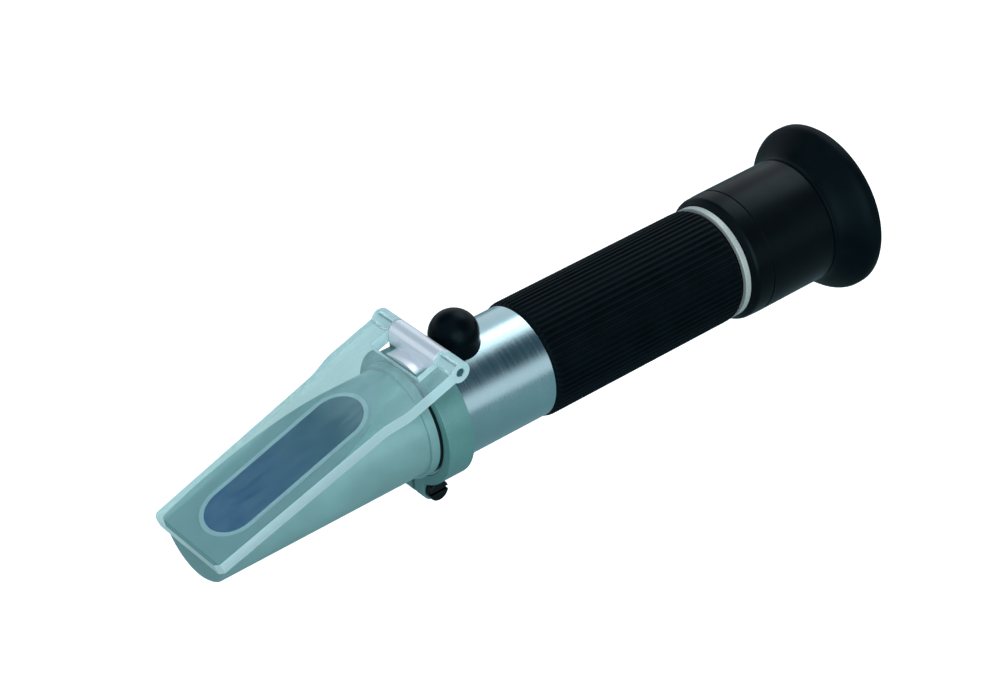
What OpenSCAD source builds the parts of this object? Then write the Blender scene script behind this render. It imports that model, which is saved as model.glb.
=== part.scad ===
// Hand-held refractometer. Millimetres. +X runs along the optical axis towards
// the eye, +Z is up through the slanted prism face, and X = 0 is the middle of
// the eyecup's mouth.

/* [Barrel] */
// Radius of the polished metal barrel where it is bare
barrel_r = 13.5; // [11:0.1:16]
// Bore radius of the barrel
barrel_bore_r = 11.5; // [9.5:0.1:13]
// Radius of the barrel under the rubber grip and the focus sleeve
barrel_seat_r = 12.6; // [11:0.1:15]
// Length of bare metal between the gasket and the grip
bare_length = 31.7; // [20:0.1:45]
// Length of the rubber grip
grip_length = 56.7; // [30:0.1:90]
// Radius over the ribs of the grip
grip_r = 14.1; // [13:0.05:17]
// Number of ribs round the grip
grip_ribs = 60; // [36:1:90]
// Depth of the grooves between the ribs
rib_depth = 0.45; // [0.2:0.05:0.8]
// Width of the bright trim ring behind the grip
trim_width = 1.6; // [0.8:0.1:3]
// Radius of the trim ring
trim_r = 13.95; // [13:0.05:17]

/* [Prism head] */
// Outer radius of the prism head
head_r = 12.37; // [10:0.05:15]
// Length of the head from its nose to its rear flange
head_length = 53.9; // [40:0.1:70]
// Slope of the prism face
face_angle = 17.8; // [10:0.1:30]
// Distance from the nose back to where the face crosses the axis height
face_cross = 13.8; // [5:0.1:25]
// Radius of the flange behind the head
flange_r = 13.1; // [12:0.05:15]
// Width of the flange behind the head
flange_width = 2.2; // [1:0.1:4]
// Length of the head's spigot inside the barrel
spigot_length = 12.3; // [8:0.1:20]
// Radius of the light passage through the head
passage_r = 6; // [4:0.1:8]
// Thickness of the gasket between flange and barrel
gasket_width = 0.6; // [0.3:0.05:1.5]

/* [Measuring prism] */
// Half the width of the prism's window
prism_half_width = 6.34; // [4:0.02:8]
// Length of the prism's window
prism_length = 42.5; // [25:0.1:50]
// Distance of the window's middle up the slope from the axis height
prism_centre = 11.6; // [5:0.1:20]
// Depth of the prism under its face
prism_depth = 5; // [3:0.1:6]
// Width of the seal round the prism
seal_width = 1.15; // [0.6:0.05:2]
// Depth of the seal
seal_depth = 1.5; // [0.8:0.1:3]

/* [Daylight plate] */
// Thickness of the clear plate
plate_t = 3; // [2:0.1:4]
// Half the plate's width at the nose
plate_nose_w = 12; // [9:0.1:14]
// Half the plate's width where it starts to widen
plate_mid_w = 12.9; // [10:0.1:15]
// Half the plate's width at the hinge
plate_rear_w = 14.3; // [12:0.1:17]
// How far the plate passes the nose
plate_overhang = 1.3; // [0:0.1:3]
// Thickness of the liquid film between plate and prism
film_gap = 0.2; // [0.1:0.05:0.4]
// Distance of the hinge pin behind the collar's front face
pin_back = 5.6; // [4:0.1:8]
// Radius of the hinge knuckles
knuckle_r = 2.5; // [2:0.05:3.5]
// Radius of the hinge pin
pin_r = 1; // [0.6:0.05:1.4]
// Radial running clearance of the plate on its pin
pin_clearance = 0.06; // [0.02:0.01:0.1]

/* [Collar] */
// Wall of the clamp collar, over the barrel
collar_wall = 2.4; // [1.5:0.1:4]
// Width of the clamp collar along the barrel
collar_width = 6.8; // [4:0.1:10]
// Half the width of the hinge block on the collar
block_half = 8; // [6:0.1:10]
// Half the thickness of the clamp lug over both ears
lug_half = 3.6; // [2.5:0.1:6]
// How far the clamp screw's axis lies outside the collar
lug_reach = 2.6; // [2:0.1:4]
// Radius of the rounded end of the clamp lug
lug_r = 3.1; // [2.5:0.1:4]
// Width of the slit through the clamp lug
slit = 1.2; // [0.6:0.1:2]
// Shank radius of the clamp screw
clamp_screw_r = 1.25; // [0.8:0.05:1.6]
// Head radius of the clamp screw
clamp_head_r = 2.5; // [1.8:0.05:3]
// Height of the clamp screw's head
clamp_head_h = 2; // [1:0.1:3]

/* [Calibration] */
// Distance of the calibration screw behind the collar's front face
cal_back = 14.9; // [13:0.1:22]
// Radius of the round rubber cap
cap_r = 5.8; // [4.5:0.05:7]
// Height of the cap's dome centre above the barrel
cap_rise = 2.3; // [1:0.1:5]
// Radius of the hollow in the cap
cap_hollow_r = 4.1; // [3:0.05:5]
// Shank radius of the calibration screw
cal_screw_r = 1.4; // [1:0.05:2]
// Head radius of the calibration screw
cal_head_r = 2.5; // [1.8:0.05:3]

/* [Optics] */
// Radius of the objective lens
objective_r = 8.55; // [6:0.05:9]
// Radius of the objective's cell
objective_cell_r = 10.8; // [9:0.05:11]
// Radius of the eyepiece lenses
eye_lens_r = 9.55; // [7:0.05:10]
// Bulge of each curved lens face
lens_bulge = 1.4; // [0.6:0.05:2.5]
// Edge thickness of the lenses
lens_edge = 1.6; // [1:0.1:3]
// Radius of the scale glass
reticle_r = 9.45; // [7:0.05:10]
// Thickness of the scale glass
reticle_t = 1.5; // [0.8:0.1:3]
// Axial travel of the eyepiece lenses each way
focus_travel = 2.5; // [1:0.1:4]
// Radius of the guide pin
guide_r = 1; // [0.6:0.05:1.4]
// Radial running clearance of sliding and turning tubes
run_gap = 0.07; // [0.03:0.01:0.1]

/* [Eyepiece] */
// Outer radius of the focus sleeve
sleeve_r = 15.53; // [14.5:0.05:18]
// Length of the focus sleeve's visible part
sleeve_length = 25.1; // [18:0.1:40]
// Radius of the eye opening
eye_r = 10.2; // [7:0.1:11]
// Length of the sleeve's spigot that carries the eyecup
cup_seat = 2.5; // [1.5:0.1:5]
// Outer radius of the eyecup's rim
cup_r = 20.8; // [17:0.1:24]
// Wall of the eyecup at its rim
cup_wall = 1.7; // [1:0.1:3]
// Length of the eyecup from the sleeve to the rim
cup_length = 10.4; // [8:0.1:20]

/* [Fits] */
// Radial gap between seated parts
seat_gap = 0.05; // [0.02:0.01:0.1]

/* [Hidden] */
$fn = 96;

half_land = 2;
collar_r = barrel_r + collar_wall;
clamp_drop = collar_r + lug_reach;
cap_height = barrel_r + cap_rise;
x_rim = half_land;
x_sleeve1 = x_rim - cup_length - 0.1;
x_sleeve0 = x_sleeve1 - sleeve_length;
x_trim0 = x_sleeve0 - trim_width - 0.1;
x_grip0 = x_trim0 - grip_length - 0.1;
x_barrel0 = x_grip0 - bare_length;
x_barrel1 = x_sleeve1 - 4.5;
x_flange1 = x_barrel0 - gasket_width - 0.1;
x_flange0 = x_flange1 - flange_width;
x_nose = x_flange0 - head_length;
x_face = x_nose + face_cross;
x_collar0 = x_barrel0 - 0.2;
x_collar1 = x_collar0 + collar_width;
x_pin = x_collar0 + pin_back;
x_cal = x_collar0 + cal_back;
plate_mid = film_gap + plate_t / 2;
z_pin = (x_pin - x_face) * tan(face_angle) + plate_mid / cos(face_angle);
u_pin = (x_pin - x_face) * cos(face_angle) + z_pin * sin(face_angle);
u_nose = (x_nose - x_face) / cos(face_angle) - plate_overhang;
u_notch = (x_collar0 - 0.6 - x_face) / cos(face_angle);
u_wide0 = u_pin - 22;
u_wide1 = u_pin - 13.7;
x_obj = x_cal - 2.5;
x_reticle = x_sleeve0 - 13.6;
x_baffle = x_grip0 + 12;
x_car0 = x_sleeve0 + 0.4;
x_car1 = x_barrel1 - 1.1;
x_guide = (x_car0 + x_car1) / 2;
x_eye = x_car1 - 5.3;
guide_slot_r = guide_r + 0.3;
cal_top = barrel_r + 1.6;

module along(x0, x1, r) {
    translate([x0, 0, 0]) rotate([0, 90, 0]) cylinder(h = x1 - x0, r = r);
}
module ring(x0, x1, ro, ri) {
    difference() {
        along(x0, x1, ro);
        along(x0 - 1, x1 + 1, ri);
    }
}
module across(x, z, y0, y1, r) {
    translate([x, y1, z]) rotate([90, 0, 0]) cylinder(h = y1 - y0, r = r);
}
module turned(points) {
    rotate([0, 90, 0]) rotate_extrude() polygon(points);
}
module on_face() {
    translate([x_face, 0, 0]) rotate([0, -face_angle, 0]) children();
}
module stadium(extra) {
    span = prism_length / 2 - prism_half_width;
    translate([prism_centre, 0]) union() {
        square([2 * span, 2 * (prism_half_width + extra)], center = true);
        translate([-span, 0]) circle(r = prism_half_width + extra);
        translate([span, 0]) circle(r = prism_half_width + extra);
    }
}
module sunk(extra, depth, rise = 0) {
    on_face() translate([0, 0, -depth])
        linear_extrude(height = depth + rise) stadium(extra);
}
// A lens with its edge from x to x + lens_edge; curved at the front and rear as asked
module lens(x, r, front, rear) {
    big = (r * r + lens_bulge * lens_bulge) / (2 * lens_bulge);
    intersection() {
        translate([x - (front ? lens_bulge : 0), 0, 0]) rotate([0, 90, 0])
            cylinder(h = lens_edge + (front ? lens_bulge : 0) + (rear ? lens_bulge : 0), r = r, $fn = 160);
        if (front) translate([x - lens_bulge + big, 0, 0]) sphere(r = big, $fn = 200);
        if (rear) translate([x + lens_edge + lens_bulge - big, 0, 0]) sphere(r = big, $fn = 200);
    }
}

module prism_head() color([0.45, 0.6, 0.62]) difference() {
    union() {
        difference() {
            union() {
                along(x_nose + 0.5, x_flange0 + 0.1, head_r);
                turned([[0, x_nose], [head_r - 0.5, x_nose], [head_r, x_nose + 0.5], [0, x_nose + 0.5]]);
            }
            on_face() translate([-60, -40, 0]) cube([200, 80, 60]);
        }
        along(x_flange0, x_flange1, flange_r);
        along(x_flange1 - 0.1, x_flange1 + spigot_length, barrel_bore_r - seat_gap);
    }
    sunk(seal_width + seat_gap, seal_depth + seat_gap, 5);
    sunk(seat_gap, prism_depth + seat_gap, 5);
    along(x_face + 17, x_flange1 + spigot_length + 1, passage_r);
    turned([[0, x_flange0], [passage_r, x_flange0], [barrel_bore_r - 2, x_flange1 + 5],
        [barrel_bore_r - 2, x_flange1 + spigot_length + 1], [0, x_flange1 + spigot_length + 1]]);
    for (x = [2, 12]) translate([x_face + x, 0, -head_r - 1]) cylinder(h = head_r + 1, r = 1.25, $fn = 32);
    for (a = [-90, 180]) rotate([a, 0, 0]) translate([x_collar1 + 2.6, 0, barrel_bore_r - 1.4])
        cylinder(h = 3, r = 1.25, $fn = 32);
}

module measuring_prism() color([0.35, 0.55, 0.7]) sunk(0, prism_depth);

module prism_seal() color([0.55, 0.66, 0.68]) difference() {
    sunk(seal_width, seal_depth);
    sunk(seat_gap, seal_depth + 1, 1);
}

module prism_screws() color([0.3, 0.32, 0.33]) for (x = [2, 12])
    translate([x_face + x, 0, x * tan(face_angle) - (prism_depth + 0.1) / cos(face_angle) - 0.8 - 5])
        difference() {
            cylinder(h = 5, r = 1.2, $fn = 32);
            translate([0, 0, -0.1]) cylinder(h = 1.6, r = 0.65, $fn = 6);
        }

module head_gasket() color([0.08, 0.08, 0.08])
    ring(x_flange1 + 0.05, x_flange1 + 0.05 + gasket_width, flange_r - 0.2, barrel_bore_r + seat_gap);

module metal_barrel() color([0.7, 0.76, 0.8]) difference() {
    union() {
        along(x_barrel0, x_grip0 - 0.05, barrel_r);
        along(x_grip0 - 0.1, x_barrel1, barrel_seat_r);
    }
    along(x_barrel0 - 1, x_barrel1 + 1, barrel_bore_r);
    translate([x_cal, 0, 0]) cylinder(h = barrel_r + 1, r = 3.05, $fn = 48);
    for (a = [-90, 180]) rotate([a, 0, 0]) translate([x_collar1 + 2.6, 0, 0])
        cylinder(h = barrel_r + 1, r = 1.25, $fn = 32);
    translate([x_guide - focus_travel, -guide_slot_r, -barrel_seat_r - 1])
        cube([2 * focus_travel, 2 * guide_slot_r, 4]);
    for (s = [-1, 1]) translate([x_guide + s * focus_travel, 0, -barrel_seat_r - 1])
        cylinder(h = 4, r = guide_slot_r, $fn = 32);
}

module spigot_screws() color([0.3, 0.32, 0.33]) for (a = [-90, 180]) rotate([a, 0, 0])
    translate([x_collar1 + 2.6, 0, barrel_bore_r - 1.3]) difference() {
        cylinder(h = 3, r = 1.2, $fn = 32);
        translate([0, 0, 1.6]) cylinder(h = 2, r = 0.65, $fn = 6);
    }

module hinge_collar() color([0.5, 0.62, 0.65]) difference() {
    union() {
        along(x_collar0, x_collar1, collar_r);
        across(x_pin, z_pin, -block_half, block_half, knuckle_r);
        translate([x_pin - knuckle_r, -block_half, 0]) cube([2 * knuckle_r, 2 * block_half, z_pin]);
        translate([x_collar0 + 0.4, -lug_half, -clamp_drop]) cube([2 * lug_r, 2 * lug_half, clamp_drop]);
        across(x_collar0 + 0.4 + lug_r, -clamp_drop, -lug_half, lug_half, lug_r);
    }
    along(x_collar0 - 3, x_collar1 + 4, barrel_r + seat_gap);
    translate([x_collar0 - 1, -slit / 2, -clamp_drop - lug_r - 1])
        cube([collar_width + 2, slit, clamp_drop + lug_r]);
    across(x_pin, z_pin, -block_half - 1, block_half + 1, pin_r + 0.02);
    across(x_collar0 + 0.4 + lug_r, -clamp_drop, -lug_half - 1, lug_half + 1, clamp_screw_r + 0.1);
}

module clamp_screw() color([0.08, 0.09, 0.1]) difference() {
    union() {
        across(x_collar0 + 0.4 + lug_r, -clamp_drop, -lug_half - 0.05, lug_half + 2.6, clamp_screw_r);
        across(x_collar0 + 0.4 + lug_r, -clamp_drop, -lug_half - 0.05 - clamp_head_h, -lug_half - 0.05, clamp_head_r);
    }
    translate([x_collar0 - 4, -lug_half - clamp_head_h - 1, -clamp_drop - 0.4])
        cube([12, 1.75, 0.8]);
}

module clamp_nut() color([0.1, 0.11, 0.12]) difference() {
    translate([x_collar0 + 0.4 + lug_r, lug_half + 0.05 + 2.1, -clamp_drop]) rotate([90, 0, 0])
        cylinder(h = 2.1, r = clamp_head_r + 0.4, $fn = 6);
    across(x_collar0 + 0.4 + lug_r, -clamp_drop, lug_half - 1, lug_half + 4, clamp_screw_r + 0.05);
}

module hinge_pin() color([0.75, 0.77, 0.8])
    across(x_pin, z_pin, -plate_rear_w + 0.2, plate_rear_w - 0.2, pin_r);

// Outline of the daylight plate, seen square to its face
function plate_side() = concat([[u_nose, plate_nose_w - 1], [u_nose + 1, plate_nose_w]],
    [for (i = [0 : 8]) [u_wide0 + (u_wide1 - u_wide0) * i / 8,
        plate_mid_w + (plate_rear_w - plate_mid_w) * (1 - cos(22.5 * i)) / 2]],
    [[u_pin, plate_rear_w]]);
module daylight_plate() color([0.8, 0.9, 0.88, 0.5]) difference() {
    union() {
        on_face() translate([0, 0, film_gap]) linear_extrude(height = plate_t)
            polygon(concat(plate_side(), [for (i = [len(plate_side()) - 1 : -1 : 0])
                [plate_side()[i][0], -plate_side()[i][1]]]));
        across(x_pin, z_pin, -plate_rear_w, plate_rear_w, knuckle_r);
    }
    on_face() translate([u_notch, -block_half - 0.35, -3]) cube([40, 2 * block_half + 0.7, 14]);
    across(x_pin, z_pin, -plate_rear_w - 1, plate_rear_w + 1, pin_r + pin_clearance);
    along(x_collar0 - 0.4, x_collar1 + 0.4, collar_r + 0.3);
}

module calibration_bush() color([0.72, 0.62, 0.35]) difference() {
    union() {
        translate([x_cal, 0, barrel_bore_r + 0.1]) cylinder(h = 2, r = 3, $fn = 48);
        difference() {
            translate([x_cal, 0, barrel_r - 1]) cylinder(h = cal_top - barrel_r + 1, r = 3.7, $fn = 48);
            along(x_cal - 9, x_cal + 9, barrel_r + seat_gap);
        }
        translate([x_cal, 0, barrel_bore_r + 0.1]) cylinder(h = cal_top - barrel_bore_r - 0.1, r = 3, $fn = 48);
    }
    translate([x_cal, 0, 0]) cylinder(h = 30, r = cal_screw_r + run_gap, $fn = 48);
}

module calibration_screw() color([0.7, 0.72, 0.74]) difference() {
    union() {
        translate([x_cal, 0, barrel_bore_r - 0.1]) cylinder(h = cal_top - barrel_bore_r + 0.4, r = cal_screw_r, $fn = 48);
        translate([x_cal, 0, cal_top + 0.3]) cylinder(h = 1.5, r = cal_head_r, $fn = 48);
    }
    translate([x_cal - 4, -0.35, cal_top + 1.1]) cube([8, 0.7, 2]);
}

module calibration_cap() color([0.06, 0.06, 0.07]) difference() {
    translate([x_cal, 0, 0]) union() {
        translate([0, 0, barrel_r - 3]) cylinder(h = cap_height - barrel_r + 3, r = cap_r);
        translate([0, 0, cap_height]) difference() {
            sphere(r = cap_r);
            translate([0, 0, -cap_r - 1]) cube([30, 30, 2 * cap_r + 2], center = true);
        }
    }
    along(x_cal - 12, x_cal + 12, barrel_r + 0.1);
    translate([x_cal, 0, 0]) cylinder(h = cal_top + 2.4, r = cap_hollow_r, $fn = 64);
}

module objective_cell() color([0.12, 0.13, 0.14]) difference() {
    along(x_obj, x_obj + 8, objective_cell_r);
    along(x_obj - 1, x_obj + 9, objective_r - 0.95);
    along(x_obj + 1, x_obj + 9, objective_r + seat_gap);
}
module objective_lens() color([0.75, 0.85, 0.9, 0.5]) lens(x_obj + 1.5, objective_r, true, true);
module objective_ring() color([0.15, 0.15, 0.16])
    ring(x_obj + 1.5 + lens_edge + 0.5, x_obj + 1.5 + lens_edge + 1.7, objective_r, objective_r - 1.05);

module light_baffle() color([0.1, 0.1, 0.1]) ring(x_baffle, x_baffle + 2, barrel_bore_r - seat_gap, 7);

module reticle_ring() color([0.12, 0.12, 0.13]) difference() {
    along(x_reticle, x_reticle + 4, barrel_bore_r - seat_gap);
    along(x_reticle - 1, x_reticle + 5, reticle_r - 0.95);
    along(x_reticle + 2, x_reticle + 5, reticle_r + seat_gap);
}
module reticle_glass() color([0.85, 0.92, 0.95, 0.5]) along(x_reticle + 2.05, x_reticle + 2.05 + reticle_t, reticle_r);

// Half of each rib's pitch is rib top and a quarter is groove floor
module rubber_grip() color([0.07, 0.08, 0.1]) difference() {
    union() {
        translate([x_grip0 + 0.7, 0, 0]) rotate([0, 90, 0]) linear_extrude(height = grip_length - 1.4)
            polygon([for (i = [0 : grip_ribs - 1], k = [[0, 0], [0.5, 0], [0.625, 1], [0.875, 1]])
                let (a = 360 * (i + k[0]) / grip_ribs, r = grip_r - k[1] * rib_depth)
                [r * cos(a), r * sin(a)]]);
        along(x_grip0, x_grip0 + grip_length, grip_r - rib_depth - 0.2);
    }
    along(x_grip0 - 1, x_grip0 + grip_length + 1, barrel_seat_r + seat_gap);
}

module trim_ring() color([0.78, 0.8, 0.82]) ring(x_trim0, x_trim0 + trim_width, trim_r, barrel_seat_r + seat_gap);

module focus_sleeve() color([0.05, 0.05, 0.06]) difference() {
    turned([[0, x_sleeve0], [sleeve_r - 1.6, x_sleeve0], [sleeve_r - 0.75, x_sleeve0 + 0.3],
        [sleeve_r - 0.25, x_sleeve0 + 0.9], [sleeve_r, x_sleeve0 + 1.8], [sleeve_r, x_sleeve1 - 0.3],
        [sleeve_r - 0.3, x_sleeve1], [sleeve_r - 1.9, x_sleeve1], [sleeve_r - 1.9, x_sleeve1 + cup_seat], [0, x_sleeve1 + cup_seat]]);
    along(x_sleeve0 - 1, x_barrel1 + 1.9, barrel_seat_r + run_gap);
    along(x_sleeve0 - 1, x_sleeve1 + cup_seat + 1, eye_r);
    along(x_guide - focus_travel - guide_slot_r - 0.2, x_guide + focus_travel + guide_slot_r + 0.2, barrel_seat_r + 1.7);
}

module lens_carrier() color([0.1, 0.1, 0.11]) difference() {
    along(x_car0, x_car1, barrel_bore_r - run_gap);
    along(x_car0 - 1, x_car1 + 1, eye_lens_r - 0.95);
    along(x_car0 + 1, x_car1 + 1, eye_lens_r + seat_gap);
    translate([x_guide, 0, -barrel_bore_r - 1]) cylinder(h = 3, r = guide_r + 0.02, $fn = 32);
}
module field_lens() color([0.75, 0.85, 0.9, 0.5]) lens(x_car0 + 1.1, eye_lens_r, false, true);
module lens_spacer() color([0.14, 0.14, 0.15])
    ring(x_car0 + 1.1 + lens_edge + 0.45, x_eye - 0.45, eye_lens_r, eye_lens_r - 0.75);
module eye_lens() color([0.75, 0.85, 0.9, 0.5]) lens(x_eye, eye_lens_r, true, true);
module eye_ring() color([0.1, 0.1, 0.11])
    ring(x_eye + lens_edge + 0.5, x_eye + lens_edge + 2, eye_lens_r, eye_lens_r - 1.15);
module guide_pin() color([0.7, 0.72, 0.74])
    translate([x_guide, 0, -barrel_seat_r - 1.4]) cylinder(h = barrel_seat_r + 1.4 - eye_lens_r - 0.25, r = guide_r, $fn = 32);

module eyecup() color([0.04, 0.04, 0.05]) turned([
    [sleeve_r - 1.9 + seat_gap, x_sleeve1 + 0.1],
    [sleeve_r - 0.35, x_sleeve1 + 0.1],
    [sleeve_r, x_sleeve1 + 0.5],
    [sleeve_r + (cup_r - sleeve_r) * 0.07, x_rim - cup_length * 0.84],
    [sleeve_r + (cup_r - sleeve_r) * 0.22, x_rim - cup_length * 0.72],
    [sleeve_r + (cup_r - sleeve_r) * 0.48, x_rim - cup_length * 0.58],
    [sleeve_r + (cup_r - sleeve_r) * 0.76, x_rim - cup_length * 0.43],
    [cup_r - 0.4, x_rim - cup_length * 0.28],
    [cup_r, x_rim - cup_length * 0.17],
    [cup_r, x_rim - 0.6],
    [cup_r - 0.5, x_rim],
    [cup_r - cup_wall, x_rim],
    [cup_r - cup_wall, -half_land],
    [sleeve_r + 0.3, x_sleeve1 + cup_seat + 1.9],
    [sleeve_r - 1.9 + seat_gap, x_sleeve1 + cup_seat + 0.3]]);

prism_head();
measuring_prism();
prism_seal();
prism_screws();
head_gasket();
metal_barrel();
spigot_screws();
hinge_collar();
clamp_screw();
clamp_nut();
hinge_pin();
daylight_plate();
calibration_bush();
calibration_screw();
calibration_cap();
objective_cell();
objective_lens();
objective_ring();
light_baffle();
reticle_ring();
reticle_glass();
rubber_grip();
trim_ring();
focus_sleeve();
lens_carrier();
field_lens();
lens_spacer();
eye_lens();
eye_ring();
guide_pin();
eyecup();
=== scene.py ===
"""Builds the looks of a hand-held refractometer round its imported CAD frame."""
import math

import bmesh
import bpy
import numpy as np
from mathutils import Matrix, Vector


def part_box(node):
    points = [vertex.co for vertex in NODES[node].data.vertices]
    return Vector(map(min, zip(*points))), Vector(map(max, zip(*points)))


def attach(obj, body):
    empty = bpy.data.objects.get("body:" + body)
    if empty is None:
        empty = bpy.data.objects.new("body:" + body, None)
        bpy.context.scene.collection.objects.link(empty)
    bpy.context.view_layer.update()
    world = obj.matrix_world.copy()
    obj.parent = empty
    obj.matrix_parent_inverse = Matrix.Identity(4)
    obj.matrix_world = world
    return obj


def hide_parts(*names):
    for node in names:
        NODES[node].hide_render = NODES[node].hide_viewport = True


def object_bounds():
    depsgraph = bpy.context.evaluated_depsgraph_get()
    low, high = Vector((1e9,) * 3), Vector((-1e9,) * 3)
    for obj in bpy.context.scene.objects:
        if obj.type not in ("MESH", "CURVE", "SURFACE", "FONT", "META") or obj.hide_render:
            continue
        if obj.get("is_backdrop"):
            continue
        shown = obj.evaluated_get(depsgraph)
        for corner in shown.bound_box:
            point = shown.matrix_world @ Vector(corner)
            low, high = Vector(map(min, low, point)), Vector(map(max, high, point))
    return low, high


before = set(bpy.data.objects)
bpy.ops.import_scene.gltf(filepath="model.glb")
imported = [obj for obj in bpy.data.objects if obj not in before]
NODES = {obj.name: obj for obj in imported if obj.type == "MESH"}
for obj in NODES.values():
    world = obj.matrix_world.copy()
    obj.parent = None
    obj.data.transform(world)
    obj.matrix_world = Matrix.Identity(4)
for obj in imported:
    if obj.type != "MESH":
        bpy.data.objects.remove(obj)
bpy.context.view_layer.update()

bl_info = {
    "name": "Refractometer Looks",
    "version": (1, 0, 0),
    "blender": (4, 5, 0),
    "location": "View3D > Sidebar > Refractometer",
    "description": "Builds and finishes the pieces of a hand-held refractometer",
    "category": "Add Mesh",
}

MM = 0.001
# Where the camera stands, and its right, up and back directions
CAMERA_PLACE = (-0.422212, -0.439199, 0.389727)
CAMERA_AXES = (
    (0.776915, -0.626867, -0.058667),
    (0.397807, 0.416522, 0.817471),
    (-0.488009, -0.658443, 0.572974),
)
# The slanted face of the prism head
FACE_ANGLE = math.radians(17.8)
FACE_NORMAL = (-math.sin(FACE_ANGLE), 0.0, math.cos(FACE_ANGLE))
# The stretch of X over which the prism's deep blue turns to teal
BLUE_X, TEAL_X = -0.178, -0.134
# The height above which the collar's hinge block is bare bright metal
BLOCK_BRIGHT_Z = 0.0149
# The studio: floor, sky, dark cards in the sky (direction, edge, full, colour) and lamps
FLOOR_DROP, FLOOR_HALF = 0.16, 3.0
SKY_COLOUR, SKY_STRENGTH = (0.97, 1.0, 1.03), 0.95
DARK_CARDS = (
    ((0.45, -0.50, 0.74), 0.86, 0.955, (0.008, 0.055, 0.085)),
    ((-0.06, 0.68, 0.73), 0.86, 0.96, (0.05, 0.17, 0.24)),
)
# Name, direction, size in metres, watts, colour
LAMPS = (
    ("overhead_softbox", (0.66, 0.26, 0.72), 0.6, 3.2, (0.95, 0.97, 1.0)),
    ("side_fill", (-0.35, -0.92, 0.30), 0.9, 9.0, (1.0, 1.0, 1.0)),
)
LAMP_DISTANCE = 1.1


# ---------------------------------------------------------------- meshes

def finish_mesh(name, body, node, mesh, sharp=35.0):
    """Puts a mesh in the scene as a piece that rides on a body and stands for a CAD node."""
    bm = bmesh.new()
    bm.from_mesh(mesh)
    bmesh.ops.remove_doubles(bm, verts=bm.verts, dist=2e-7)
    bmesh.ops.recalc_face_normals(bm, faces=bm.faces)
    bm.to_mesh(mesh)
    bm.free()
    mesh.shade_smooth()
    mesh.set_sharp_from_angle(angle=math.radians(sharp))
    piece = bpy.data.objects.new(name, mesh)
    bpy.context.scene.collection.objects.link(piece)
    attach(piece, body)
    if node:
        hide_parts(node)
    return piece


def grid_mesh(name, points, wrap_u=True, wrap_v=True):
    """A quad mesh over an (n, m, 3) array of points.

    Face (i, j) joins points i, i + 1 and j, j + 1, wrapping round where asked.
    """
    n, m = points.shape[:2]
    i = np.arange(n if wrap_u else n - 1)[:, None]
    j = np.arange(m if wrap_v else m - 1)[None, :]
    a = i * m + j
    b = ((i + 1) % n) * m + j
    c = ((i + 1) % n) * m + (j + 1) % m
    d = i * m + (j + 1) % m
    quads = np.stack([a, b, c, d], -1).reshape(-1, 4)
    mesh = bpy.data.meshes.new(name)
    mesh.vertices.add(n * m)
    mesh.vertices.foreach_set("co", points.reshape(-1).astype(np.float32))
    mesh.loops.add(quads.size)
    mesh.loops.foreach_set("vertex_index", quads.reshape(-1).astype(np.int32))
    mesh.polygons.add(len(quads))
    mesh.polygons.foreach_set("loop_start", np.arange(0, quads.size, 4, dtype=np.int32))
    mesh.update(calc_edges=True)
    mesh.validate()
    return mesh


def rounded(points, steps=6):
    """Fillets a closed profile: corner (x, r, radius) becomes an arc tangent to both its sides.

    The arc starts radius / tan(half the corner's angle) from the corner, or just under half
    a side where that side is short.
    """
    out = []
    for k, (x, r, radius) in enumerate(points):
        p = np.array([x, r], float)
        a = np.array(points[k - 1][:2], float)
        b = np.array(points[(k + 1) % len(points)][:2], float)
        u, v = a - p, b - p
        lu, lv = np.linalg.norm(u), np.linalg.norm(v)
        u, v = u / lu, v / lv
        half = math.acos(max(-1.0, min(1.0, float(u @ v)))) / 2
        if radius <= 0 or half > math.radians(88):
            out.append(p)
            continue
        cut = min(radius / math.tan(half), 0.49 * lu, 0.49 * lv)
        rad = cut * math.tan(half)
        mid = (u + v) / np.linalg.norm(u + v)
        centre = p + mid * rad / math.sin(half)
        s, e = p + u * cut - centre, p + v * cut - centre
        t = np.linspace(0, 1, steps + 1)[:, None]
        turn = math.pi - 2 * half
        arc = (np.sin((1 - t) * turn) * s + np.sin(t * turn) * e) / math.sin(turn)
        out.extend(list(centre + arc))
    return np.array(out)


def lathe(name, profile, turns=192):
    """Turns a closed (x, r) profile in millimetres about X: point = (x, -r sin a, r cos a)."""
    a = np.linspace(0, 2 * np.pi, turns, endpoint=False)[:, None]
    x, r = profile[:, 0][None, :], profile[:, 1][None, :]
    return grid_mesh(name, np.stack([x + 0 * a, -r * np.sin(a), r * np.cos(a)], -1) * MM)


def softened(node, name, width, body="instrument", segments=3, sharp=35.0):
    """A merged copy of a CAD node: flat facets are joined, and sharp edges get a small round."""
    mesh = NODES[node].data.copy()
    mesh.name = name
    if mesh.has_custom_normals and "custom_normal" in mesh.attributes:
        mesh.attributes.remove(mesh.attributes["custom_normal"])
    bm = bmesh.new()
    bm.from_mesh(mesh)
    bmesh.ops.remove_doubles(bm, verts=bm.verts, dist=1e-6)
    bmesh.ops.dissolve_limit(bm, angle_limit=math.radians(0.4), verts=bm.verts, edges=bm.edges)
    bm.to_mesh(mesh)
    bm.free()
    mesh.materials.clear()
    piece = finish_mesh(name, body, node, mesh, sharp)
    bevel = piece.modifiers.new("edge_round", "BEVEL")
    bevel.width = width * MM
    bevel.segments = segments
    bevel.limit_method = "ANGLE"
    bevel.angle_limit = math.radians(sharp)
    bevel.harden_normals = True
    bevel.use_clamp_overlap = True
    return piece


# ------------------------------------------------------------- materials

def shade(colour, factor):
    """The same colour, darker or paler by a factor."""
    return tuple(min(1.0, v * factor) for v in colour)


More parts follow.
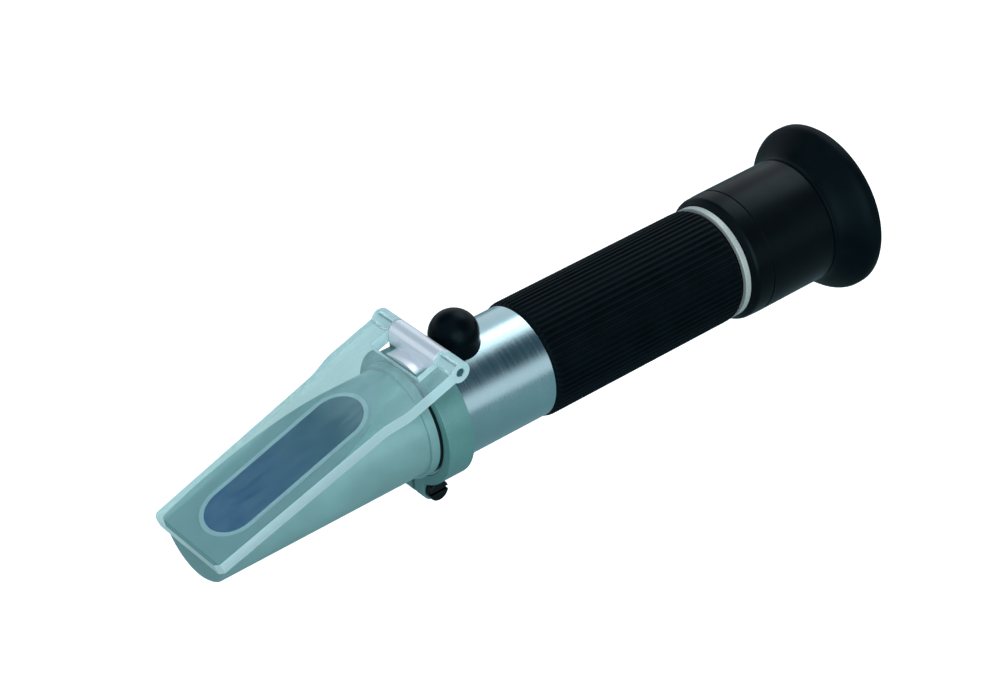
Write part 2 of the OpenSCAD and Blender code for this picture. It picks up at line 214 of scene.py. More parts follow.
class Finish:
    """A node material with helpers, so that each finish below reads as a recipe."""

    def __init__(self, name, **sockets):
        self.m = bpy.data.materials.new(name)
        self.m.use_nodes = True
        self.t = self.m.node_tree
        self.p = self.t.nodes["Principled BSDF"]
        self.out = self.t.nodes["Material Output"]
        for k, v in sockets.items():
            self.p.inputs[k.replace("_", " ")].default_value = v
        self.where = self.t.nodes.new("ShaderNodeTexCoord").outputs["Object"]

    def link(self, a, b):
        self.t.links.new(a, b)

    def stretched(self, scale, turn=(0, 0, 0)):
        n = self.t.nodes.new("ShaderNodeMapping")
        n.inputs["Scale"].default_value = scale
        n.inputs["Rotation"].default_value = turn
        self.link(self.where, n.inputs["Vector"])
        return n.outputs["Vector"]

    def noise(self, scale, detail=3.0, rough=0.55, vector=None):
        n = self.t.nodes.new("ShaderNodeTexNoise")
        n.inputs["Scale"].default_value = scale
        n.inputs["Detail"].default_value = detail
        n.inputs["Roughness"].default_value = rough
        self.link(vector or self.where, n.inputs["Vector"])
        return n.outputs["Fac"]

    def ramp(self, value, *stops):
        n = self.t.nodes.new("ShaderNodeValToRGB")
        el = n.color_ramp.elements
        while len(el) < len(stops):
            el.new(0.5)
        for e, (at, colour) in zip(el, stops):
            e.position = at
            e.color = (*colour, 1)
        self.link(value, n.inputs["Fac"])
        return n.outputs["Color"]

    def span(self, value, low, high, to_low, to_high):
        n = self.t.nodes.new("ShaderNodeMapRange")
        for k, v in zip(("From Min", "From Max", "To Min", "To Max"), (low, high, to_low, to_high)):
            n.inputs[k].default_value = v
        self.link(value, n.inputs["Value"])
        return n.outputs["Result"]

    def maths(self, op, a, b=None):
        n = self.t.nodes.new("ShaderNodeMath")
        n.operation = op
        for s, v in zip(n.inputs, (a, b)):
            if v is None:
                continue
            if isinstance(v, (int, float)):
                s.default_value = v
            else:
                self.link(v, s)
        return n.outputs[0]

    def dot(self, vector, by):
        n = self.t.nodes.new("ShaderNodeVectorMath")
        n.operation = "DOT_PRODUCT"
        self.link(vector, n.inputs[0])
        n.inputs[1].default_value = by
        return n.outputs["Value"]

    def mix(self, fac, a, b):
        n = self.t.nodes.new("ShaderNodeMix")
        n.data_type = "RGBA"
        for s, v in zip((n.inputs["Factor"], n.inputs["A"], n.inputs["B"]), (fac, a, b)):
            if isinstance(v, tuple):
                s.default_value = (*v, 1)
            elif isinstance(v, (int, float)):
                s.default_value = v
            else:
                self.link(v, s)
        return n.outputs["Result"]

    def bump(self, height, strength, distance):
        n = self.t.nodes.new("ShaderNodeBump")
        n.inputs["Strength"].default_value = strength
        n.inputs["Distance"].default_value = distance
        self.link(height, n.inputs["Height"])
        self.link(n.outputs["Normal"], self.p.inputs["Normal"])

    def diffuse(self, colour):
        n = self.t.nodes.new("ShaderNodeBsdfDiffuse")
        n.inputs["Color"].default_value = (*colour, 1)
        return n.outputs[0]

    def blend(self, share, first, second):
        """Mixes two shaders: the share is 0 for the first and 1 for the second."""
        n = self.t.nodes.new("ShaderNodeMixShader")
        for socket, source in zip(n.inputs, (share, first, second)):
            self.link(source, socket)
        return n.outputs[0]

    def surface(self, shader):
        self.link(shader, self.out.inputs["Surface"])

    def colour(self, value):
        self.link(value, self.p.inputs["Base Color"])

    def rough(self, value):
        self.link(value, self.p.inputs["Roughness"])


def lacquered_metal(name, deep, pale, bare, bright_above=None):
    """Satin lacquer over cast metal: cloudy tone and a fine orange peel.

    Faces that look along the slanted face's normal are bare ground metal, and so is
    everything above bright_above, where that is given.
    """
    f = Finish(name, Metallic=0.4, Specular_IOR_Level=0.35)
    cloud = f.noise(70, 4, 0.6)
    speck = f.noise(2600, 2, 0.5)
    tone = f.ramp(cloud, (0.32, deep), (0.68, pale))
    tone = f.mix(f.span(speck, 0.45, 0.8, 0.0, 0.12), tone, bare)
    geo = f.t.nodes.new("ShaderNodeTexCoord")
    facing = f.dot(geo.outputs["Normal"], FACE_NORMAL)
    tone = f.mix(f.span(facing, 0.985, 0.995, 0.0, 1.0), tone, bare)
    rough = f.span(cloud, 0.3, 0.7, 0.30, 0.40)
    if bright_above is not None:
        wobble = f.span(speck, 0.3, 0.7, -0.0001, 0.0001)
        height = f.maths("ADD", f.dot(f.where, (0.0, 0.0, 1.0)), wobble)
        top = f.span(height, bright_above, bright_above + 0.0003, 0.0, 1.0)
        tone = f.mix(top, tone, (0.62, 0.68, 0.74))
        rough = f.maths("MULTIPLY", rough, f.span(top, 0.0, 1.0, 1.0, 0.7))
    f.colour(tone)
    f.rough(rough)
    peel = f.maths("ADD", f.noise(1500, 3, 0.5), f.maths("MULTIPLY", speck, 0.4))
    f.bump(peel, 0.10, 0.00004)
    return f.m


def turned_metal(name, deep, pale, rough=0.2, lines=0.07):
    """Bright tube metal with fine turning marks that run round the axis and a faint smudge."""
    f = Finish(name, Metallic=1.0)
    marks = f.noise(1.0, 3, 0.6, f.stretched((2400, 30, 30)))
    smudge = f.noise(45, 4, 0.6)
    f.colour(f.mix(f.span(smudge, 0.35, 0.7, 0, 1), deep, pale))
    worn = f.span(marks, 0.3, 0.7, rough - 0.03, rough + 0.04)
    f.rough(f.maths("ADD", worn, f.span(smudge, 0.45, 0.75, 0.0, 0.06)))
    f.bump(marks, lines, 0.00002)
    return f.m


def satin_ring(name, deep, pale):
    """Blasted and clear-coated metal: soft, nearly even brightness all round, with fine speckle."""
    f = Finish(name, Metallic=0.25, Specular_IOR_Level=0.4)
    speck = f.noise(2400, 3, 0.6)
    f.colour(f.mix(f.span(speck, 0.3, 0.7, 0, 1), deep, pale))
    f.rough(f.span(f.noise(200, 3, 0.5), 0.3, 0.7, 0.46, 0.56))
    f.bump(speck, 0.12, 0.00003)
    return f.m


def moulded_rubber(name, deep, pale, rough, grain=2200):
    """Black rubber: a very dark tone, dusty lighter patches and a fine moulded grain."""
    f = Finish(name, Specular_IOR_Level=0.055, Specular_Tint=(0.45, 0.85, 1.0, 1.0))
    dust = f.noise(160, 4, 0.65)
    fine = f.noise(grain, 3, 0.6)
    f.colour(f.ramp(dust, (0.35, deep), (0.75, pale)))
    f.rough(f.span(dust, 0.3, 0.75, rough - 0.05, rough + 0.08))
    f.bump(fine, 0.18, 0.00005)
    return f.m


def satin_plastic(name, deep, pale, rough):
    """Black satin plastic with a spark-eroded grain."""
    f = Finish(name, Specular_IOR_Level=0.075, Specular_Tint=(0.45, 0.85, 1.0, 1.0))
    fine = f.noise(3000, 2, 0.5)
    cloud = f.noise(90, 3, 0.5)
    f.colour(f.mix(cloud, deep, pale))
    f.rough(f.span(cloud, 0.3, 0.7, rough - 0.04, rough + 0.05))
    f.bump(fine, 0.12, 0.00004)
    return f.m


def optical_blue(name):
    """Polished prism face: deep blue that turns to teal along its length, with a faint bloom."""
    f = Finish(name, Metallic=0.0, Specular_IOR_Level=0.4)
    along = f.dot(f.where, (1.0, 0.0, 0.0))
    tone = f.ramp(
        f.span(along, BLUE_X, TEAL_X, 0.0, 1.0),
        (0.0, (0.003, 0.060, 0.20)),
        (0.45, (0.004, 0.062, 0.165)),
        (0.8, (0.006, 0.062, 0.115)),
        (1.0, (0.006, 0.058, 0.095)),
    )
    bloom = f.noise(120, 4, 0.6)
    f.colour(f.mix(f.span(bloom, 0.45, 0.8, 0.0, 0.12), tone, (0.06, 0.20, 0.32)))
    f.rough(f.span(bloom, 0.3, 0.8, 0.12, 0.22))
    f.bump(f.noise(400, 2, 0.5), 0.004, 0.00001)
    return f.m


def clear_sheet(name, tint, rough, cloud, haze_and_painted_glow, wipes_and_painted_rear_reflection=True):
    """Clear acrylic that bends and tints what lies behind it, under a thin milky veil.

    When asked, the sheet carries long wipe marks and grows milkier to the rear; that rear milk is a
    painted reflection, standing in for the pale light the plate's rear catches.
    Shadow rays pass straight through, tinted, so that the lamps light what lies behind.
    """
    f = Finish(name, Transmission_Weight=1.0, IOR=1.45, Specular_IOR_Level=0.4)
    patch = f.noise(160, 4, 0.6)
    if wipes_and_painted_rear_reflection:
        wipe = f.noise(1.0, 4, 0.6, f.stretched((50, 500, 500), (0, -FACE_ANGLE, 0)))
    else:
        wipe = f.noise(900, 2, 0.5)
    f.colour(f.mix(f.span(patch, 0.35, 0.7, 0.0, 1.0), shade(tint, 0.96), tint))
    f.rough(f.span(wipe, 0.35, 0.75, rough, rough + cloud))
    f.bump(f.noise(90, 2, 0.5), 0.02, 0.0001)
    if wipes_and_painted_rear_reflection:
        # Painted reflection: the veil's share grows up to five times towards the plate's rear,
        # standing in for the pale reflection the rear catches
        painted_rear_reflection = f.span(f.dot(f.where, (1.0, 0.0, 0.0)), -0.145, -0.122, 1.0, 5.0)
        smear = f.span(wipe, 0.35, 0.75, haze_and_painted_glow * 0.6, haze_and_painted_glow * 1.4)
        share = f.maths("MULTIPLY", smear, painted_rear_reflection)
    else:
        share = f.span(wipe, 0.3, 0.7, haze_and_painted_glow * 0.93, haze_and_painted_glow * 1.07)
    # The milky layer's pale teal: partly the acrylic's own milk, partly painted light, the rear's
    # reflection and the edges' glow
    veil = f.blend(share, f.p.outputs[0], f.diffuse((0.50, 0.72, 0.76)))
    path = f.t.nodes.new("ShaderNodeLightPath")
    open_way = f.t.nodes.new("ShaderNodeBsdfTransparent")
    open_way.inputs["Color"].default_value = (*(v ** 0.5 for v in tint), 1)
    f.surface(f.blend(path.outputs["Is Shadow Ray"], veil, open_way.outputs[0]))
    return f.m


def lens_glass(name, tint):
    """Coated lens glass with a faint patchy bloom and a trace of dust."""
    f = Finish(name, Transmission_Weight=1.0, IOR=1.52, Coat_Weight=0.3)
    bloom = f.span(f.noise(300, 3, 0.5), 0.3, 0.7, 0, 1)
    f.colour(f.mix(bloom, tint, shade(tint, 0.94)))
    f.rough(f.span(f.noise(900, 3, 0.6), 0.55, 0.8, 0.01, 0.06))
    return f.m


def scale_glass(name):
    """Scale glass: rows of fine dark divisions beside one upright line, every fifth one longer."""
    f = Finish(name, Transmission_Weight=0.9, IOR=1.5, Roughness=0.05)
    up = f.dot(f.where, (0, 0, 1000.0))
    side = f.dot(f.where, (0, 1000.0, 0))
    short = f.maths("LESS_THAN", f.maths("PINGPONG", up, 0.25), 0.05)
    tall = f.maths("LESS_THAN", f.maths("PINGPONG", up, 1.25), 0.06)
    inside = f.maths("LESS_THAN", f.maths("ABSOLUTE", up), 6.3)
    near = f.maths("LESS_THAN", f.maths("ABSOLUTE", side), 0.9)
    far = f.maths("LESS_THAN", f.maths("ABSOLUTE", side), 2.0)
    spine = f.maths("LESS_THAN", f.maths("ABSOLUTE", side), 0.06)
    ink = f.maths("MAXIMUM", f.maths("MULTIPLY", short, near), f.maths("MULTIPLY", tall, far))
    ink = f.maths("MULTIPLY", f.maths("MAXIMUM", ink, spine), inside)
    f.colour(f.mix(ink, (0.9, 0.95, 0.97), (0.01, 0.012, 0.02)))
    return f.m


def dress(piece, *materials):
    """Gives a piece or CAD node its finishes in place of any it had."""
    piece.data.materials.clear()
    for m in materials:
        piece.data.materials.append(m)


# ---------------------------------------------------------------- sizes

class RefractometerSizes(bpy.types.PropertyGroup):
    """Sizes of the pieces that are built here."""

    ribs: bpy.props.IntProperty(
        name="Grip ribs", description="Number of ribs round the grip",
        default=60, min=24, max=120)
    rib_depth: bpy.props.FloatProperty(
        name="Rib depth", description="Depth of the grooves between ribs",
        default=0.45 * MM, min=0.1 * MM, max=0.8 * MM, unit="LENGTH", precision=5)
    edge_round: bpy.props.FloatProperty(
        name="Edge round", description="Round on the metal pieces' edges",
        default=0.25 * MM, min=0.05 * MM, max=0.6 * MM, unit="LENGTH", precision=5)
    plate_round: bpy.props.FloatProperty(
        name="Plate edge round", description="Round on the clear plate's edges",
        default=0.35 * MM, min=0.05 * MM, max=0.8 * MM, unit="LENGTH", precision=5)
    cup_curve: bpy.props.FloatProperty(
        name="Eyecup curve", description="How late the eyecup flares, 0 to 1",
        default=0.5, min=0.0, max=1.0, subtype="FACTOR")
    turns: bpy.props.IntProperty(
        name="Round steps", description="Steps round each turned piece",
        default=192, min=48, max=360)


def tint_property(name, description, default):
    """A colour that a user may change."""
    return bpy.props.FloatVectorProperty(
        name=name, description=description, default=default,
        subtype="COLOR", size=3, min=0, max=1)


class RefractometerColours(bpy.types.PropertyGroup):
    """Colours of the finishes."""

    lacquer: tint_property(
        "Lacquer", "Colour of the lacquered head and collar", (0.19, 0.36, 0.365))
    tube: tint_property(
        "Tube metal", "Colour of the bright barrel", (0.40, 0.56, 0.60))
    rubber: tint_property(
        "Rubber", "Colour of the black rubber", (0.0006, 0.0018, 0.0028))
    plate_tint: tint_property(
        "Plate tint", "Tint that each face of the clear plate gives", (0.74, 0.85, 0.83))


def sizes():
    return bpy.context.scene.refractometer_sizes


def colours():
    return bpy.context.scene.refractometer_colours


# ------------------------------------------------------------- operators

class OBJECT_OT_refractometer_stage(bpy.types.Operator):
    """Make the pale floor, the soft light, the sky and the camera"""

    bl_idname = "object.refractometer_stage"
    bl_label = "Stage and camera"

    def execute(self, context):
        lo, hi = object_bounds()
        middle = Vector(((lo.x + hi.x) / 2, 0, 0))
        self.make_floor(context, middle, lo.z - FLOOR_DROP)
        self.make_sky(context)
        for lamp in LAMPS:
            self.make_lamp(context, middle, *lamp)
        self.make_camera(context)
        context.scene.view_settings.view_transform = "Standard"
        return {"FINISHED"}

    def make_floor(self, context, middle, z):
        """A square floor: white to the camera, and darker to reflections and through glass."""
        square = np.array([[-1, -1, 0], [1, -1, 0], [1, 1, 0], [-1, 1, 0]], float)
        corners = square * FLOOR_HALF + np.array([middle.x, 0, z])
        mesh = bpy.data.meshes.new("studio_floor")
        mesh.from_pydata(corners.tolist(), [], [(0, 1, 2, 3)])
        floor = bpy.data.objects.new("studio_floor", mesh)
        context.scene.collection.objects.link(floor)
        floor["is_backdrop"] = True
        f = Finish("pale_floor", Roughness=0.9, Specular_IOR_Level=0.1,
                   Emission_Color=(1.0, 1.0, 1.0, 1.0), Emission_Strength=0.35)
        f.colour(f.ramp(f.noise(3, 2, 0.5),
                        (0.3, (0.93, 0.935, 0.94)), (0.7, (0.95, 0.95, 0.95))))
        path = f.t.nodes.new("ShaderNodeLightPath")
        unseen = f.blend(path.outputs["Is Transmission Ray"],
                         f.diffuse((0.21, 0.32, 0.33)), f.diffuse((0.52, 0.66, 0.66)))
        f.surface(f.blend(path.outputs["Is Camera Ray"], unseen, f.p.outputs[0]))
        floor.data.materials.append(f.m)

    def make_sky(self, context):
        """A pale sky, multiplied by a soft dark disc round each card's direction."""
        world = bpy.data.worlds.new("studio_sky")
        context.scene.world = world
        world.use_nodes = True
        t = world.node_tree
        back = t.nodes["Background"]
        co = t.nodes.new("ShaderNodeTexCoord")
        tone = None
        for toward, start, full, dark in DARK_CARDS:
            dot = t.nodes.new("ShaderNodeVectorMath")
            dot.operation = "DOT_PRODUCT"
            dot.inputs[1].default_value = Vector(toward).normalized()
            t.links.new(co.outputs["Generated"], dot.inputs[0])
            ramp = t.nodes.new("ShaderNodeValToRGB")
            el = ramp.color_ramp.elements
            el[0].position, el[0].color = start, (*SKY_COLOUR, 1)
            el[1].position, el[1].color = full, (*dark, 1)
            t.links.new(dot.outputs["Value"], ramp.inputs["Fac"])
            if tone is None:
                tone = ramp.outputs["Color"]
                continue
            both = t.nodes.new("ShaderNodeMix")
            both.data_type = "RGBA"
            both.blend_type = "MULTIPLY"
            both.inputs["Factor"].default_value = 1.0
            t.links.new(tone, both.inputs["A"])
            t.links.new(ramp.outputs["Color"], both.inputs["B"])
            tone = both.outputs["Result"]
        t.links.new(tone, back.inputs["Color"])
        back.inputs["Strength"].default_value = SKY_STRENGTH

    def make_lamp(self, context, middle, name, toward, size, power, colour):
        """A square area lamp that looks at the object's middle."""
        light = bpy.data.lights.new(name, "AREA")
        light.size = size
        light.energy = power
        light.color = colour
        lamp = bpy.data.objects.new(name, light)
        d = Vector(toward).normalized()
        lamp.location = middle + d * LAMP_DISTANCE
        lamp.rotation_mode = "QUATERNION"
        lamp.rotation_quaternion = d.to_track_quat("Z", "Y")
        context.scene.collection.objects.link(lamp)

    def make_camera(self, context):
        """The camera, with its place and directions as given at the top."""
        cam = bpy.data.cameras.new("studio_camera")
        cam.sensor_fit = "HORIZONTAL"
        cam.sensor_width = 36.0
        cam.lens = 108.0
        cam.clip_start, cam.clip_end = 0.01, 20.0
        eye = bpy.data.objects.new("studio_camera", cam)
        right, up, backward = (Vector(v).normalized() for v in CAMERA_AXES)
        turn = Matrix((right, up, backward)).transposed()
        eye.rotation_mode = "QUATERNION"
        eye.rotation_quaternion = turn.to_quaternion()
        eye.location = CAMERA_PLACE
        context.scene.collection.objects.link(eye)
        context.scene.camera = eye


class OBJECT_OT_refractometer_head(bpy.types.Operator):
    """Finish the prism head, prism, seal, gasket and small screws"""

    bl_idname = "object.refractometer_head"
    bl_label = "Prism head"

    def execute(self, context):
        c = colours().lacquer
        head = softened("prism_head", "prism_head_soft", sizes().edge_round / MM)
        dress(head, lacquered_metal(
            "head_lacquer", shade(c, 0.9), shade(c, 1.12), (0.27, 0.42, 0.45)))
        dress(NODES["measuring_prism"], optical_blue("prism_blue"))
        dress(NODES["prism_seal"], satin_plastic(
            "seal_grey", (0.33, 0.46, 0.53), (0.38, 0.52, 0.58), 0.4))
        dress(NODES["head_gasket"], moulded_rubber(
            "gasket_rubber", (0.004, 0.008, 0.01), (0.008, 0.014, 0.018), 0.6))
        steel = turned_metal(
            "dark_screw_steel", (0.02, 0.022, 0.025), (0.045, 0.05, 0.055), 0.34)
        for n in ("prism_screws", "spigot_screws"):
            dress(NODES[n], steel)
        return {"FINISHED"}


class OBJECT_OT_refractometer_barrel(bpy.types.Operator):
    """Finish the metal barrel and the bright trim ring"""

    bl_idname = "object.refractometer_barrel"
    bl_label = "Barrel and trim ring"

    def execute(self, context):
        c = colours().tube
        dress(NODES["metal_barrel"], turned_metal(
            "barrel_bright", shade(c, 0.93), shade(c, 1.08), 0.23, 0.012))
        ring = softened("trim_ring", "trim_ring_soft", 0.2)
        dress(ring, satin_ring("trim_silver_satin", (0.30, 0.36, 0.36), (0.38, 0.44, 0.43)))
        return {"FINISHED"}


class OBJECT_OT_refractometer_collar(bpy.types.Operator):
    """Round the clamp collar's edges and finish its screw, nut and hinge pin"""

    bl_idname = "object.refractometer_collar"
    bl_label = "Collar and fasteners"

    def execute(self, context):
        c = tuple(v * k for v, k in zip(colours().lacquer, (0.50, 0.66, 0.64)))
        collar = softened(
            "hinge_collar", "hinge_collar_soft", sizes().edge_round / MM)
        dress(collar, lacquered_metal(
            "collar_lacquer", shade(c, 0.9), shade(c, 1.1), (0.30, 0.42, 0.45), BLOCK_BRIGHT_Z))
        dark = turned_metal("black_steel", (0.008, 0.012, 0.014), (0.018, 0.026, 0.03), 0.38)
        for node, body in (("clamp_screw", "clamp"), ("clamp_nut", "instrument")):
            dress(softened(node, node + "_soft", 0.22, body), dark)
        dress(NODES["hinge_pin"], turned_metal(
            "pin_steel", (0.10, 0.20, 0.22), (0.16, 0.28, 0.30), 0.25))
        return {"FINISHED"}


class OBJECT_OT_refractometer_plate(bpy.types.Operator):
    """Make the clear daylight plate, with frosted edges whose heavy milk also paints the pale glow
    that light bending through them gives
    """

    bl_idname = "object.refractometer_plate"
    bl_label = "Daylight plate"

    def execute(self, context):
        plate = softened(
            "daylight_plate", "daylight_plate_clear",
            sizes().plate_round / MM, "plate")
        tint = tuple(colours().plate_tint)
        dress(
            plate,
            clear_sheet("plate_clear", tint, 0.015, 0.05, 0.045),
            # The edges: frosted, and their heavy milk is also a painted glow, standing in for the
            # light that bends through the plate's edges
            clear_sheet("plate_edge", shade(tint, 0.9), 0.34, 0.03, 0.50, False))
        me = plate.data
        normals = np.zeros(len(me.polygons) * 3, np.float32)
        me.polygons.foreach_get("normal", normals)
        flat = np.abs(normals.reshape(-1, 3) @ np.array(FACE_NORMAL, np.float32)) > 0.97
        me.polygons.foreach_set("material_index", np.where(flat, 0, 1).astype(np.int32))
        return {"FINISHED"}


class OBJECT_OT_refractometer_cap(bpy.types.Operator):
    """Build the domed rubber cap, and finish the calibration screw and bush under it"""

    bl_idname = "object.refractometer_cap"
    bl_label = "Calibration cap"

    def execute(self, context):
        lo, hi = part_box("calibration_cap")
        cx, r, top = (lo.x + hi.x) / 2 / MM, (hi.x - lo.x) / 2 / MM, hi.z / MM
        centre = top - r
        # The barrel's surface with a little room, the room inside, and its roof over the screw
        seat, hollow = 13.62, 4.1
        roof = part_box("calibration_screw")[1].z / MM + 0.4
        a = np.linspace(0, 2 * np.pi, 96, endpoint=False)[:, None]

        def saddle(radius):
            """Height of the barrel's surface under a circle of this radius: sqrt(seat^2 - y^2)."""
            return np.sqrt(seat ** 2 - (radius * np.sin(a)) ** 2)

        rows = []
        for t in np.linspace(0, math.pi / 2, 28):
            rows.append((r * math.sin(t) + 0 * a, centre + r * math.cos(t) + 0 * a))
        base = saddle(r)
        for s in np.linspace(0.15, 1, 6):
            waist = r - 0.12 * math.sin(math.pi * s)
            rows.append((waist + 0 * a, centre + (base + 0.25 - centre) * s))
        rows.append((r - 0.3 + 0 * a, saddle(r - 0.3)))
        rows.append((hollow + 0.3 + 0 * a, saddle(hollow + 0.3)))
        rows.append((hollow + 0 * a, saddle(hollow) + 0.25))
        rows.append((hollow + 0 * a, roof + 0 * a))
        rows.append((0 * a, roof + 0 * a))
        pts = np.stack([
            np.concatenate([cx + q * np.cos(a), q * np.sin(a), h], 1) for q, h in rows], 1) * MM
        mesh = grid_mesh("cap_dome", pts, True, False)
        cap = finish_mesh("cap_dome", "cap", "calibration_cap", mesh, 50)
        k = colours().rubber
        dress(cap, moulded_rubber("cap_rubber", shade(k, 0.7), shade(k, 1.4), 0.27, 2600))
        dress(NODES["calibration_screw"], turned_metal(
            "adjuster_steel", (0.5, 0.52, 0.54), (0.6, 0.62, 0.64), 0.28))
        dress(NODES["calibration_bush"], turned_metal(
            "bush_brass", (0.48, 0.34, 0.13), (0.58, 0.42, 0.18), 0.3))
        return {"FINISHED"}


class OBJECT_OT_refractometer_grip(bpy.types.Operator):
    """Build the ribbed grip: radius = top - end round(x) - depth * groove(angle) * fade(x)"""

    bl_idname = "object.refractometer_grip"
    bl_label = "Ribbed grip"

    def execute(self, context):
        lo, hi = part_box("rubber_grip")
        x0, x1, top = lo.x / MM, hi.x / MM, hi.z / MM
        inner, steps_per_rib = 12.65, 10
        count, depth = sizes().ribs, sizes().rib_depth / MM
        a = np.linspace(0, 2 * np.pi, count * steps_per_rib, endpoint=False)[:, None]
        wave = np.cos(count * a)
        rib = 1 / (1 + np.exp(6.0 * (wave - 0.15)))
        x = np.concatenate([
            x0 + np.array([0, 0.02, 0.15, 0.4, 0.75, 1.1, 1.6]),
            np.linspace(x0 + 3, x1 - 3, 16),
            x1 - np.array([1.9, 1.4, 1.0, 0.7, 0.4, 0.15, 0.02, 0])])
        ends = np.minimum(x - x0, x1 - x)
        drop = 1.0 * np.exp(-ends * 2.4) + 0.55 * np.clip(1 - (x1 - x) / 2.4, 0, 1) ** 2
        fade = np.clip((ends - 0.5) / 0.9, 0, 1)
        r = top - drop[None, :] - depth * (rib * fade[None, :] + (1 - fade[None, :]) * 0.5)
        r[:, 0] = r[:, -1] = inner + 0.35
        outer = np.stack([x[None, :] + 0 * r, -r * np.sin(a), r * np.cos(a)], -1)
        xi = np.linspace(x1, x0, 6)[None, :] + 0 * a
        bore = np.stack([xi, -inner * np.sin(a) + 0 * xi, inner * np.cos(a) + 0 * xi], -1)
        mesh = grid_mesh("grip_ribbed", np.concatenate([outer, bore], 1) * MM)
        grip = finish_mesh("grip_ribbed", "instrument", "rubber_grip", mesh, 40)
        k = colours().rubber
        dress(grip, moulded_rubber("grip_rubber_black", shade(k, 0.8), shade(k, 1.9), 0.5))
        return {"FINISHED"}


class OBJECT_OT_refractometer_sleeve(bpy.types.Operator):
    """Build the black focus sleeve with its rounded shoulder and fine ring"""

    bl_idname = "object.refractometer_sleeve"
    bl_label = "Focus sleeve"

    def execute(self, context):
        lo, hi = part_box("focus_sleeve")
        x0, x1, r = lo.x / MM, hi.x / MM, hi.z / MM
        step = x1 - 2.5
        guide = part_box("guide_pin")
        g = (guide[0].x + guide[1].x) / 2 / MM
        bore, eye, seat = 12.67, 10.2, r - 1.9
        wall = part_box("metal_barrel")[1].x / MM + 1.9
        groove_half, groove_depth = 3.99, 1.65
        profile = rounded([
            (x0, r - 1.55, 0.5), (x0 + 1.2, r - 0.15, 1.4), (x0 + 5.0, r, 2.0),
            (x0 + 5.35, r, 0.1), (x0 + 5.5, r - 0.22, 0.08),
            (x0 + 5.8, r - 0.22, 0.08), (x0 + 5.95, r, 0.1),
            (step, r, 0.5), (step, seat, 0), (x1, seat, 0.3), (x1, eye, 0.5),
            (wall, eye, 0.2), (wall, bore, 0.1),
            (g + groove_half, bore, 0.1), (g + groove_half, bore + groove_depth, 0.1),
            (g - groove_half, bore + groove_depth, 0.1), (g - groove_half, bore, 0.1),
            (x0, bore, 0.3)])
        body = lathe("focus_sleeve_body", profile, sizes().turns)
        sleeve = finish_mesh(
            "focus_sleeve_body", "focus_ring", "focus_sleeve", body, 40)
        dress(sleeve, satin_plastic(
            "sleeve_black", (0.0008, 0.0014, 0.002), (0.0018, 0.003, 0.0042), 0.34))
        return {"FINISHED"}


class OBJECT_OT_refractometer_eyecup(bpy.types.Operator):
    """Build the flared rubber eyecup, r(t) = hub + (rim - hub) * sin(pi / 2 * t^late)^1.15"""

    bl_idname = "object.refractometer_eyecup"
    bl_label = "Eyecup"

    def execute(self, context):
        lo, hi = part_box("eyecup")
        x0, x1, r = lo.x / MM, hi.x / MM, hi.z / MM
        hub, seat, wall = 15.53, 13.68, 1.7
        t = np.linspace(0, 1, 30)
        late = 1.0 + 0.9 * sizes().cup_curve
        bell = hub + (r - hub) * np.sin(math.pi / 2 * t ** late) ** 1.15
        xs = x0 + 0.5 + (x1 - 1.9 - x0 - 0.5) * t
        outer = np.stack([xs, bell], 1)
        lip = [
            (x1 - 1.3, r), (x1 - 0.55, r - 0.05), (x1 - 0.15, r - 0.35),
            (x1, r - 0.8), (x1, r - 1.2), (x1 - 0.2, r - 1.6)]
        inner = [
            (x1 - 0.5, r - wall), (-2.0, r - wall), (-3.0, r - wall - 0.7),
            (-4.2, r - wall - 2.4), (-4.9, r - wall - 3.9), (-5.6, 14.0), (-5.75, seat)]
        root = [[x0, hub - 0.4], [x0 + 0.25, hub - 0.08]]
        profile = np.concatenate([root, outer, lip, inner, [[x0, seat]]])
        bell_mesh = lathe("eyecup_bell", profile, sizes().turns)
        cup = finish_mesh("eyecup_bell", "focus_ring", "eyecup", bell_mesh, 40)
        k = colours().rubber
        dress(cup, moulded_rubber("eyecup_rubber", shade(k, 0.9), shade(k, 1.7), 0.46))
        return {"FINISHED"}


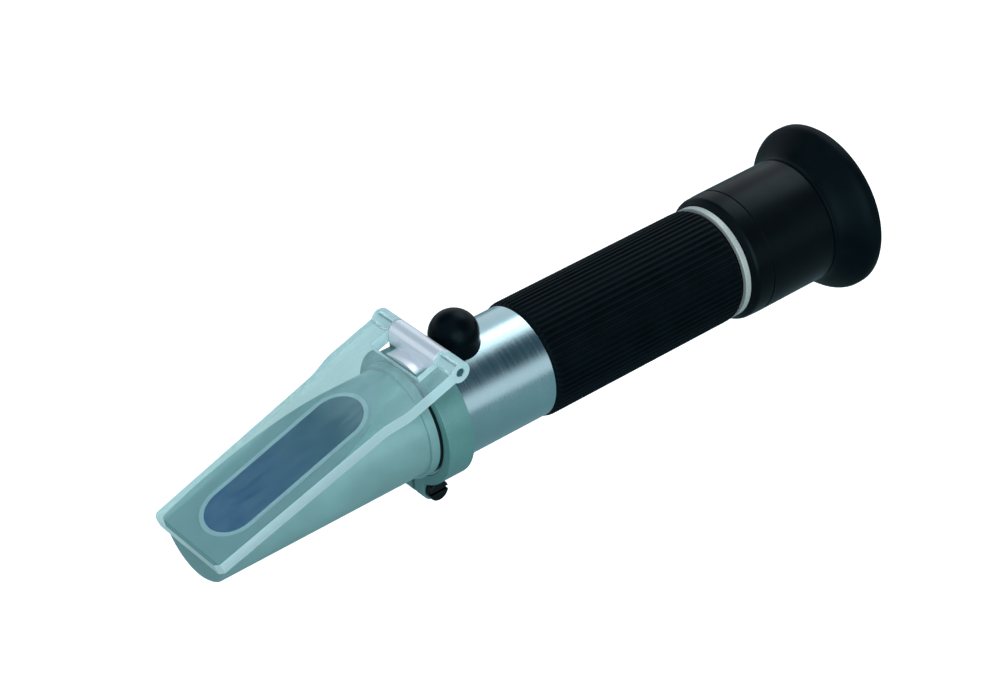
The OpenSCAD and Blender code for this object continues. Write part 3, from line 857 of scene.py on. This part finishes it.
class OBJECT_OT_refractometer_optics(bpy.types.Operator):
    """Finish the lenses, their mounts and the scale glass"""

    bl_idname = "object.refractometer_optics"
    bl_label = "Optics"

    def execute(self, context):
        black = satin_plastic(
            "inside_black", (0.004, 0.004, 0.004), (0.010, 0.010, 0.011), 0.6)
        for n in ("objective_cell", "objective_ring", "light_baffle", "reticle_ring",
                  "lens_carrier", "lens_spacer", "eye_ring"):
            dress(NODES[n], black)
        glass = lens_glass("lens_glass_coated", (0.90, 0.94, 0.98))
        for n in ("objective_lens", "field_lens", "eye_lens"):
            dress(NODES[n], glass)
        dress(NODES["reticle_glass"], scale_glass("scale_divisions"))
        dress(NODES["guide_pin"], turned_metal(
            "guide_steel", (0.5, 0.5, 0.5), (0.6, 0.6, 0.6), 0.3))
        return {"FINISHED"}


class VIEW3D_PT_refractometer(bpy.types.Panel):
    """Lists the refractometer's sizes, colours and building steps"""

    bl_idname = "VIEW3D_PT_refractometer"
    bl_label = "Refractometer"
    bl_space_type = "VIEW_3D"
    bl_region_type = "UI"
    bl_category = "Refractometer"

    def draw(self, context):
        for group in (sizes(), colours()):
            box = self.layout.box()
            for key in group.bl_rna.properties.keys():
                if key not in ("rna_type", "name"):
                    box.prop(group, key)
        for op in BUILD_ORDER:
            self.layout.operator(op.bl_idname)


BUILD_ORDER = (
    OBJECT_OT_refractometer_stage,
    OBJECT_OT_refractometer_head,
    OBJECT_OT_refractometer_barrel,
    OBJECT_OT_refractometer_collar,
    OBJECT_OT_refractometer_plate,
    OBJECT_OT_refractometer_cap,
    OBJECT_OT_refractometer_grip,
    OBJECT_OT_refractometer_sleeve,
    OBJECT_OT_refractometer_eyecup,
    OBJECT_OT_refractometer_optics,
)
CLASSES = (RefractometerSizes, RefractometerColours, *BUILD_ORDER, VIEW3D_PT_refractometer)


def register():
    for c in CLASSES:
        bpy.utils.register_class(c)
    bpy.types.Scene.refractometer_sizes = bpy.props.PointerProperty(type=RefractometerSizes)
    bpy.types.Scene.refractometer_colours = bpy.props.PointerProperty(type=RefractometerColours)


def unregister():
    del bpy.types.Scene.refractometer_colours
    del bpy.types.Scene.refractometer_sizes
    for c in reversed(CLASSES):
        bpy.utils.unregister_class(c)


def main():
    register()
    bpy.ops.object.refractometer_stage()
    bpy.ops.object.refractometer_head()
    bpy.ops.object.refractometer_barrel()
    bpy.ops.object.refractometer_collar()
    bpy.ops.object.refractometer_plate()
    bpy.ops.object.refractometer_cap()
    bpy.ops.object.refractometer_grip()
    bpy.ops.object.refractometer_sleeve()
    bpy.ops.object.refractometer_eyecup()
    bpy.ops.object.refractometer_optics()


if __name__ == "__main__":
    main()
